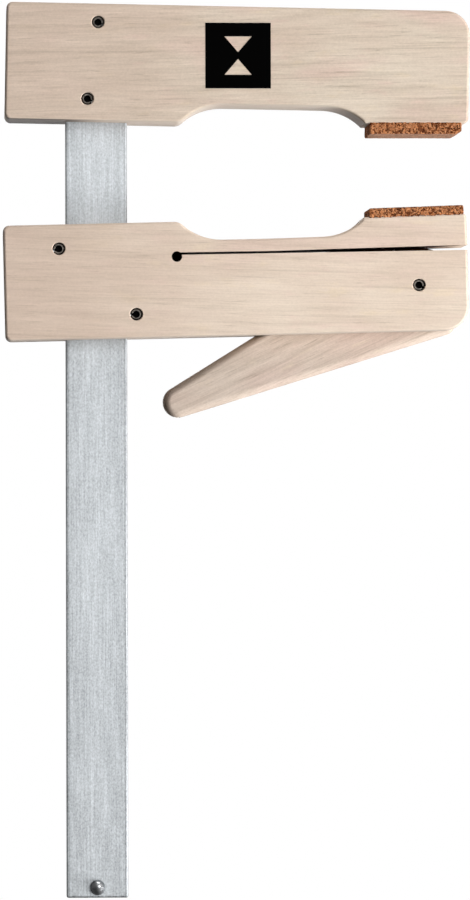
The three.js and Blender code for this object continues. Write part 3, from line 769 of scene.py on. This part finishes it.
# The last three strengths give each wood's painted shade: on faces turned down, in the throat, under the heel
fixed_wood = wood("pale wood, fixed jaw", TOE_IN, (7, 0, 3), FIXED_TONES, (34, -58),
                  contrast=0.85, under_grime=0.6, throat_grime=0.75, heel_grime=0.9)
sliding_wood = wood("pale wood, sliding jaw", -CANT, (61, 5, 40), SLIDING_TONES, (-46, 62),
                    contrast=0.62, under_grime=0.6, throat_grime=0.3, heel_grime=0.2)
lever_wood = wood("pale wood, lever", lever_grain(), (19, 9, 31), LEVER_TONES, (28, 44),
                  contrast=1.0, under_grime=0.0, throat_grime=0.55, heel_grime=0.0)
kerf_shade = kerf_shade_material()
cork_finish = cork()
zinc_finish = zinc()
# The polished steel's dark base stands for a dark studio in its reflection: a painted reflection
polished = steel("polished steel", linear(132, 134, 136), linear(160, 161, 163), 0.16, 0.26, side_shade=0.8)
dark_steel = steel("dark spring steel", linear(74, 70, 66), linear(114, 109, 103), 0.34, 0.5, side_shade=0.0)
shade_plug = bore_shade_plug()
ink_finish = ink()


# Pieces

def make_rail():
    """The flat rail with its drilled holes."""
    half = RAIL_WIDTH / 2
    corners = [(-half + RAIL_CORNER, RAIL_FOOT + RAIL_CORNER, math.pi),
               (half - RAIL_CORNER, RAIL_FOOT + RAIL_CORNER, 1.5 * math.pi),
               (half - RAIL_CORNER, RAIL_TOP - RAIL_CORNER, 0.0),
               (-half + RAIL_CORNER, RAIL_TOP - RAIL_CORNER, 0.5 * math.pi)]
    outline = []
    for x, z, start in corners:
        outline += arc((x, z), RAIL_CORNER, start, start + math.pi / 2, RAIL_CORNER_STEPS)
    bar = plate(outline, RAIL_THICKNESS, RAIL_EASE, RAIL_EASE_STEPS)
    rail = finished("rail_steel", bar, [zinc_finish], RAIL_PLACE)
    cutters = pin_holes(FIXED_PINS, RAIL_HOLE_GAP, RAIL_THICKNESS, FINE_HOLE_BREAK, zinc_finish, FIXED_PLACE)
    stop_hole = moved(hole_cutter(STOP_HOLE, RAIL_THICKNESS, FINE_HOLE_BREAK), z=STOP_LEVEL)
    cut(rail, cutters + [(stop_hole, zinc_finish, RAIL_PLACE)])
    dressed(rail, "frame", "zinc_steel", "rail")


def make_end_stop():
    """A domed rivet with its shank and its hammered foot."""
    face = RAIL_THICKNESS / 2
    profile = [(STOP_FLAT, -face - STOP_RIM - STOP_DOME)]
    for step in range(1, STOP_DOME_STEPS + 1):
        turn = 0.5 * math.pi * step / STOP_DOME_STEPS
        profile.append((STOP_HEAD * math.sin(turn), -face - STOP_RIM - STOP_DOME * math.cos(turn)))
    profile += [(radius, -face + behind) for radius, behind in STOP_UNDER_HEAD]
    profile += [(STOP_SHANK, -face + STOP_SHANK_INSET), (STOP_SHANK, face - STOP_SHANK_INSET)]
    profile += [(radius, face + behind) for radius, behind in STOP_FOOT]
    rivet = moved(turned(profile, STOP_ROUND_STEPS), z=STOP_LEVEL)
    stop = finished("rail_end_stop_rivet", rivet, [polished], RAIL_PLACE)
    dressed(stop, "frame", "polished_steel", "rail_end_stop")


def make_fixed_jaw():
    """The jaw pinned to the rail's head, with its mortise and pin holes."""
    def seat_level(along):
        return (FIXED_RISE - along * math.sin(TOE_IN) - FIXED_PAD_THICKNESS) / math.cos(TOE_IN)

    outline = [(x, -z) for x, z in jaw_outline(FIXED_HEIGHT, seat_level, -TOE_IN, FIXED_NOSE)]
    blank = plate(outline, JAW_THICKNESS, WOOD_EASE, WOOD_EASE_STEPS)
    jaw = finished("fixed_jaw_wood", blank, [fixed_wood], FIXED_PLACE)
    half_width = RAIL_WIDTH / 2 + MORTISE_CLEARANCE
    half_depth = RAIL_THICKNESS / 2 + MORTISE_CLEARANCE
    mortise = box((-half_width, -half_depth, -CUT_OVERRUN), (half_width, half_depth, RAIL_TOP + CUT_OVERRUN))
    cutters = [(mortise, fixed_wood, RAIL_PLACE)]
    cutters += pin_holes(FIXED_PINS, JAW_HOLE_GAP, JAW_THICKNESS, HOLE_BREAK, fixed_wood, FIXED_PLACE)
    cut(jaw, cutters)
    dressed(jaw, "frame", "jaw_wood", "fixed_jaw")


def kerf_cutter():
    """The kerf's space: open in front, narrower at the back, and closed behind the relief hole."""
    ramp_start, ramp_end = KERF_BACK_RAMP
    web_front, web_back = KERF_WEB
    outer = JAW_THICKNESS / 2 + CUT_OVERRUN
    rings = []
    for y, start, rise in ((-outer, RELIEF_ALONG, 0), (web_front, RELIEF_ALONG, 0),
                           (web_front + KERF_STEP, KERF_WEB_END, 0), (KERF_BACK_FROM, KERF_WEB_END, 0),
                           (KERF_BACK_FROM + KERF_STEP, KERF_WEB_END, KERF_BACK_RISE),
                           (web_back, KERF_WEB_END, KERF_BACK_RISE),
                           (web_back + KERF_STEP, RELIEF_ALONG, KERF_BACK_RISE),
                           (outer, RELIEF_ALONG, KERF_BACK_RISE)):
        lifts = [(start, 0), (ramp_start, 0), (ramp_end, rise), (KERF_BACK_END, rise),
                 (KERF_BACK_END + KERF_STEP, 0), (CUT_END, 0), (CUT_END, KERF_WIDTH), (start, KERF_WIDTH)]
        rings.append([(along, y, kerf_level(along, lift)) for along, lift in lifts])
    return bridged(rings)


def kerf_ridge():
    """A ridge left by the saw along the kerf's back half, close under the opened lip."""
    def opening(along):
        return KERF_WIDTH + (along - LIP_HINGE[0]) * math.tan(LIP_PRESET) - KERF_RIDGE_GAP

    start, end = KERF_RIDGE
    foot = KERF_BACK_RISE / 2
    lifts = [(start, foot), (end, foot), (end, opening(end)), (start, opening(start))]
    front = KERF_BACK_FROM + KERF_STEP
    back = JAW_THICKNESS / 2 - WOOD_EASE
    ridge = plate([(along, kerf_level(along, lift)) for along, lift in lifts], back - front)
    return moved(ridge, y=(front + back) / 2)


def lever_slot():
    """Slot for the lever: open below, at the tip and into the kerf, closed by a slope behind the lever."""
    _, _, upper, upper_level = lever_lines()
    slope_zero = upper_level(0, LEVER_SLOT_GAP)

    def slope_at(level):
        return PIVOT[0] + (level - PIVOT[1] - slope_zero) / math.tan(upper)

    outline = [(slope_at(-CUT_OVERRUN), -CUT_OVERRUN), (CUT_END, -CUT_OVERRUN), (CUT_END, SLIDING_HEIGHT),
               (slope_at(SLIDING_HEIGHT), SLIDING_HEIGHT)]
    return plate(outline, LEVER_THICKNESS + 2 * LEVER_SLOT_GAP)


def sliding_blank():
    """The sliding jaw's board with its kerf, and the relief hole drilled from both faces."""
    outline = jaw_outline(SLIDING_HEIGHT, lambda along: SLIDING_HEIGHT - LIP_SEAT_SINK, 0.0, LIP_NOSE)
    blank = plate(outline, JAW_THICKNESS, WOOD_EASE, WOOD_EASE_STEPS)
    jaw = finished("sliding_jaw_wood", blank, [sliding_wood], SLIDING_PLACE)
    openings = [kerf_cutter()]
    for reach, side in ((RELIEF_FRONT_DEPTH, -1), (RELIEF_BACK_DEPTH, 1)):
        drill = drill_cutter(RELIEF_RADIUS, JAW_THICKNESS, reach, side)
        openings.append(moved(drill, RELIEF_ALONG, 0, KERF_ROOT_LEVEL - RELIEF_UNDER_KERF))
    # The kerf and the relief hole take painted shade on their walls
    return cut(jaw, [(work, kerf_shade, SLIDING_PLACE) for work in openings])


def parted_lip(jaw):
    """The jaw's part above the kerf as a piece of its own. The jaw keeps the rest."""
    top = SLIDING_HEIGHT + CUT_OVERRUN
    region = [(LIP_SEAM_ALONG, kerf_level(LIP_SEAM_ALONG, LIP_PARTING)),
              (CUT_END, kerf_level(CUT_END, LIP_PARTING)), (CUT_END, top), (LIP_SEAM_ALONG, top)]
    depth = JAW_THICKNESS + 2 * CUT_OVERRUN
    lip = jaw.copy()
    lip.data = jaw.data.copy()
    lip.name = "jaw_lip_wood"
    bpy.context.scene.collection.objects.link(lip)
    for piece, operation in ((lip, "INTERSECT"), (jaw, "DIFFERENCE")):
        cut(piece, [(plate(region, depth), sliding_wood, SLIDING_PLACE)], operation)
    return lip


def open_sliding_jaw(jaw):
    """Cuts the rail's mortise, the lever's slot and the pins' holes."""
    left = -RAIL_WIDTH / 2 / math.cos(CANT) - SLIDING_MORTISE_CLEARANCE
    right = (RAIL_WIDTH / 2 + SLIDING_HEIGHT * math.sin(CANT)) / math.cos(CANT) + SLIDING_MORTISE_CLEARANCE
    half_depth = RAIL_THICKNESS / 2 + SLIDING_MORTISE_CLEARANCE
    mortise = box((left, -half_depth, -CUT_OVERRUN), (right, half_depth, SLIDING_HEIGHT + CUT_OVERRUN))
    # The lever's slot takes painted shade on its walls
    cutters = [(mortise, sliding_wood, SLIDING_PLACE), (lever_slot(), kerf_shade, SLIDING_PLACE)]
    cutters += pin_holes(SLIDING_PINS, JAW_HOLE_GAP, JAW_THICKNESS, HOLE_BREAK, sliding_wood, SLIDING_PLACE)
    cut(jaw, cutters)


def bend_lip(lip):
    """Cuts rings across the lip's neck, then bends it open about the neck's middle."""
    work = bmesh.new()
    work.from_mesh(lip.data)
    to_local = (Matrix.Scale(MM, 4) @ SLIDING_PLACE).inverted()
    work.transform(to_local)
    along = THROAT_FLOOR_START
    while along <= THROAT_FLOOR_END:
        bmesh.ops.bisect_plane(work, geom=work.verts[:] + work.edges[:] + work.faces[:], dist=SAME_POINT,
                               plane_co=(along, 0, 0), plane_no=(1, 0, 0))
        along += BEND_STEP
    hinge = Vector((LIP_HINGE[0], 0, LIP_HINGE[1]))
    for vertex in work.verts:
        share = (vertex.co.x - THROAT_FLOOR_START) / (THROAT_FLOOR_END - THROAT_FLOOR_START)
        share = min(max(share, 0.0), 1.0)
        weight = share * share * (3 - 2 * share)
        vertex.co = hinge + Matrix.Rotation(-LIP_PRESET * weight, 3, "Y") @ (vertex.co - hinge)
    work.transform(to_local.inverted())
    work.to_mesh(lip.data)
    work.free()


def make_sliding_jaw():
    """The sliding jaw and its lip, sawn from one board, with the lip's neck bent open."""
    jaw = sliding_blank()
    lip = parted_lip(jaw)
    cut(jaw, [(kerf_ridge(), kerf_shade, SLIDING_PLACE)], "UNION")
    open_sliding_jaw(jaw)
    dressed(jaw, "sliding_jaw", "jaw_wood", "sliding_jaw")
    bend_lip(lip)
    smoothed(lip)
    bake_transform(lip)
    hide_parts("jaw_lip")


def make_lever():
    """The cam lever, rounded all round its edges, with painted shade at the top of its cam."""
    place = SLIDING_PLACE @ Matrix.Translation((PIVOT[0], 0, PIVOT[1]))
    body = plate(lever_outline(), LEVER_THICKNESS, LEVER_EDGE, LEVER_EDGE_STEPS)
    lever = finished("cam_lever_wood", body, [lever_wood, kerf_shade], place)
    hole = hole_cutter(PIN_RADIUS + LEVER_HOLE_GAP, LEVER_THICKNESS, FINE_HOLE_BREAK)
    cut(lever, [(hole, lever_wood, place)])
    to_local = (Matrix.Scale(MM, 4) @ place).inverted()
    for face in lever.data.polygons:
        if (to_local @ face.center).z > CAM_SHADE_LEVEL:
            face.material_index = 1
    dressed(lever, "cam_lever", "lever_wood", "cam_lever")


def make_pin(name, place, body):
    """A rolled spring pin: slit down one side, tapered at both ends, its bore closed by a near-black plug,
    painted shade.
    """
    half = JAW_THICKNESS / 2 - PIN_RECESS
    slot = math.radians(PIN_SLOT_DEGREES[name])
    rings = []
    for side in (-1, 1):
        for outer, bore, end_gap in (PIN_ENDS if side < 0 else PIN_ENDS[::-1]):
            slot_outer = math.asin(PIN_SLOT / 2 / outer)
            slot_inner = math.asin(PIN_SLOT / 2 / bore)
            points = arc((0, 0), outer, slot + slot_outer, slot + 2 * math.pi - slot_outer, PIN_STEPS)
            points += arc((0, 0), bore, slot + 2 * math.pi - slot_inner, slot + slot_inner, PIN_STEPS)
            rings.append([(x, side * (half - end_gap), z) for x, z in points])
    pin = finished(name + "_steel", bridged(rings), [dark_steel], place)
    dressed(pin, body, "pin_steel", name)
    shade_plug_half = half - SHADE_PLUG_DEPTH
    plug = turned([(SHADE_PLUG_RADIUS, -shade_plug_half), (SHADE_PLUG_RADIUS, shade_plug_half)], SHADE_PLUG_STEPS)
    dressed(finished(name + "_shade_plug", plug, [shade_plug], place), body, "pin_steel")


def make_pins():
    """The two pins of the fixed jaw, and the sliding jaw's two guides and the lever's pivot."""
    for name, (along, level) in FIXED_PINS.items():
        make_pin(name, FIXED_PLACE @ Matrix.Translation((along, 0, level)), "frame")
    for name, (along, level) in SLIDING_PINS.items():
        body = "guide" if name == "guide_pin_upper" else "sliding_jaw"
        make_pin(name, SLIDING_PLACE @ Matrix.Translation((along, 0, level)), body)


def seat_spill(spot):
    """How far the cork's edge spills over its seat there, in millimetres."""
    return 0.6 * noise.noise(spot * 0.9) + 0.5 * noise.noise(spot * 2.3) + 0.25


def crumble_depth(spot):
    """How deep the cork is crumbled there, in millimetres: broad and fine unevenness, and open pits."""
    coarse = noise.noise(spot * 0.6)
    fine = noise.noise(spot * 2.1 + Vector((31, 7, 3)))
    pit = max(0.0, noise.noise(spot * 1.3 + Vector((5, 43, 11))) - 0.30)
    return max(0.03 + 0.05 * coarse + 0.07 * fine + 0.8 * pit, 0.0)


def make_pad(name, outline, place, body, node, seat_side):
    """A cork pad, remeshed finely and crumbled. Its seat is above it (1) or below it (-1)."""
    pad = finished(name, plate(outline, JAW_THICKNESS - PAD_SIDE_PLAY), [cork_finish], place)
    remesh = pad.modifiers.new("remesh", "REMESH")
    remesh.mode = "VOXEL"
    remesh.voxel_size = PAD_VOXEL * MM
    mesh = applied(pad).data
    for vertex, normal in [(v, v.normal.copy()) for v in mesh.vertices]:
        spot = vertex.co / MM
        if normal.z * seat_side > PAD_SEAT_FACING:
            vertex.co.z += seat_side * seat_spill(spot) * MM
        else:
            vertex.co -= normal * crumble_depth(spot) * MM
    mesh.materials.clear()
    mesh.materials.append(cork_finish)
    mesh.shade_smooth()
    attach(pad, body)
    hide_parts(node)


def make_pads():
    """The fixed jaw's pad, chamfered at its tip, and the lip's pad, rounded towards the throat."""
    half = PAD_LENGTH / 2
    fixed = [(-half, 0), (half - FIXED_PAD_CHAMFER, 0), (half, FIXED_PAD_THICKNESS - FIXED_PAD_END_FACE),
             (half, FIXED_PAD_THICKNESS + PAD_SEATED), (-half, FIXED_PAD_THICKNESS + PAD_SEATED)]
    make_pad("fixed_jaw_pad_cork", fixed, Matrix.Identity(4), "frame", "fixed_jaw_pad", 1)
    top = LIP_PAD_THICKNESS
    outer = half + LIP_PAD_OVERHANG
    lip = [(-half, -PAD_SEATED), (outer, -PAD_SEATED), (outer, top - LIP_PAD_CHAMFER),
           (outer - LIP_PAD_CHAMFER, top)]
    lip += arc((LIP_PAD_END - half, top - LIP_PAD_END), LIP_PAD_END, math.pi / 2, math.pi, LIP_PAD_END_STEPS)
    along = PAD_CENTRE + SLIDING_HEIGHT * math.sin(CANT)
    seat = Matrix.Translation((along, 0, SLIDING_HEIGHT - LIP_SEAT_SINK + LIP_PAD_LIFT))
    make_pad("lip_pad_cork", lip, SLIDING_PLACE @ LIP_TURN @ seat, "jaw_lip", "lip_pad", -1)


def make_print():
    """A plain printed square with two triangles left open, point to point."""
    half = PRINT_HALF
    sheet = plate([(-half, -half), (half, -half), (half, half), (-half, half)], PRINT_THICKNESS)
    place = Matrix.Translation((PRINT_CENTRE[0], -JAW_THICKNESS / 2 - PRINT_SINK, PRINT_CENTRE[1]))
    panel = finished("printed_square", sheet, [ink_finish], place)
    cutters = []
    for way in (-1, 1):
        base = way * PRINT_TRIANGLE_BASE
        triangle = [(0, way * PRINT_TRIANGLE_TIP), (PRINT_TRIANGLE_HALF, base), (-PRINT_TRIANGLE_HALF, base)]
        cutters.append((plate(triangle, PRINT_CUTTER), ink_finish, place))
    cut(panel, cutters)
    panel.data.shade_flat()
    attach(panel, "frame")


# Stage, lamps and camera, in metres

FLOOR_LEVEL = -0.33
FLOOR_RADIUS = 1.7
FLOOR_SIDES = 96
FLOOR_TONE = (0.86, 0.86, 0.86, 1.0)
FLOOR_FADE = (0.30, 0.95)
WHITE = (1.0, 1.0, 1.0, 1.0)
GLOW_SPAN = (-0.2, 0.8)
GLOW_STRENGTHS = (0.01, 0.3)
CENTRE = Vector((-0.058, 0.0, -0.103))

# Place, size and power of each lamp
LAMPS = {"key": ((0.75, -1.7, 0.35), 1.0, 14.5), "top": ((0.18, -0.30, 1.2), 0.8, 10.0),
         "low": ((0.95, -0.45, -0.60), 0.6, 24.0), "back": ((0.25, 1.7, 0.25), 1.0, 14.0)}

# The lens and the pitch are given by the pixels of an image 900 high
CAMERA_PLACE = (-0.14071, -1.8395, -0.10855)
CAMERA_YAW = math.radians(2.57)
CAMERA_ROLL = math.radians(0.115)
CAMERA_SENSOR = 36
CAMERA_REACH = 20
IMAGE_HEIGHT = 900
FOCAL_PIXELS = 5664
PITCH_PIXELS = 20


def seen_directly(n):
    """One where a ray shows the background itself: from the camera, off a gloss, or through glass."""
    path = n.add("LightPath")
    seen = n.math("MAXIMUM", path.outputs["Is Camera Ray"], path.outputs["Is Glossy Ray"])
    return n.math("MAXIMUM", seen, path.outputs["Is Transmission Ray"])


def make_floor():
    """A pale floor that keeps the shadow near the object and fades to white further out."""
    work = bmesh.new()
    bmesh.ops.create_circle(work, cap_ends=True, segments=FLOOR_SIDES, radius=FLOOR_RADIUS)
    mesh = bpy.data.meshes.new("floor")
    work.to_mesh(mesh)
    work.free()
    floor = bpy.data.objects.new("floor", mesh)
    bpy.context.scene.collection.objects.link(floor)
    floor.location = (CENTRE.x, CENTRE.y, FLOOR_LEVEL)
    floor.visible_diffuse = False
    floor.visible_shadow = False
    n = Nodes(bpy.data.materials.new("pale floor"))
    distance = n.add("VectorMath", {0: n.coordinate("Object")}, operation="LENGTH").outputs["Value"]
    far = n.math("MULTIPLY", n.range(distance, *FLOOR_FADE), seen_directly(n))
    diffuse = n.add("BsdfDiffuse", {"Color": FLOOR_TONE})
    white = n.add("Emission", {"Color": WHITE, "Strength": 1.0})
    mixed = n.add("MixShader", {0: far, 1: diffuse.outputs[0], 2: white.outputs[0]})
    n.add("OutputMaterial", {"Surface": mixed.outputs[0]})
    mesh.materials.append(n.owner)


def make_world():
    """White where it is seen, softer and one-sided where it lights the object."""
    world = bpy.data.worlds.new("studio")
    bpy.context.scene.world = world
    n = Nodes(world)
    way = n.parts(n.coordinate("Generated"))
    glow = n.range(way[1], *GLOW_SPAN, *GLOW_STRENGTHS)
    strength = n.math("MAXIMUM", glow, seen_directly(n))
    background = n.add("Background", {"Color": WHITE, "Strength": strength})
    n.add("OutputWorld", {"Surface": background.outputs[0]})


def make_lamp(name, place, size, power):
    """A soft square lamp aimed at the object."""
    data = bpy.data.lights.new(name, "AREA")
    data.shape = "SQUARE"
    data.size = size
    data.energy = power
    lamp = bpy.data.objects.new(name, data)
    lamp.location = place
    lamp.rotation_euler = (CENTRE - Vector(place)).to_track_quat("-Z", "Y").to_euler()
    lamp.visible_camera = False
    bpy.context.scene.collection.objects.link(lamp)


def make_camera():
    """The photograph's viewpoint: a long lens, a little left of the rail and level with the free rail."""
    yaw = CAMERA_YAW
    pitch = math.atan(PITCH_PIXELS / FOCAL_PIXELS)
    ahead = Vector((math.sin(yaw) * math.cos(pitch), math.cos(yaw) * math.cos(pitch), math.sin(pitch)))
    right = Vector((math.cos(yaw), -math.sin(yaw), 0))
    up = right.cross(ahead)
    side = right * math.cos(CAMERA_ROLL) - up * math.sin(CAMERA_ROLL)
    top = right * math.sin(CAMERA_ROLL) + up * math.cos(CAMERA_ROLL)
    data = bpy.data.cameras.new("camera")
    data.sensor_width = CAMERA_SENSOR
    data.lens = CAMERA_SENSOR * FOCAL_PIXELS / IMAGE_HEIGHT
    data.clip_end = CAMERA_REACH
    camera = bpy.data.objects.new("camera", data)
    turn = Matrix((side, top, -ahead)).transposed().to_4x4()
    camera.matrix_world = Matrix.Translation(CAMERA_PLACE) @ turn
    bpy.context.scene.collection.objects.link(camera)
    bpy.context.scene.camera = camera


make_rail()
make_end_stop()
make_fixed_jaw()
make_sliding_jaw()
make_lever()
make_pins()
make_pads()
make_print()
make_floor()
make_world()
for lamp_name, lamp_values in LAMPS.items():
    make_lamp(lamp_name, *lamp_values)
make_camera()
bpy.context.scene.view_settings.view_transform = "Standard"
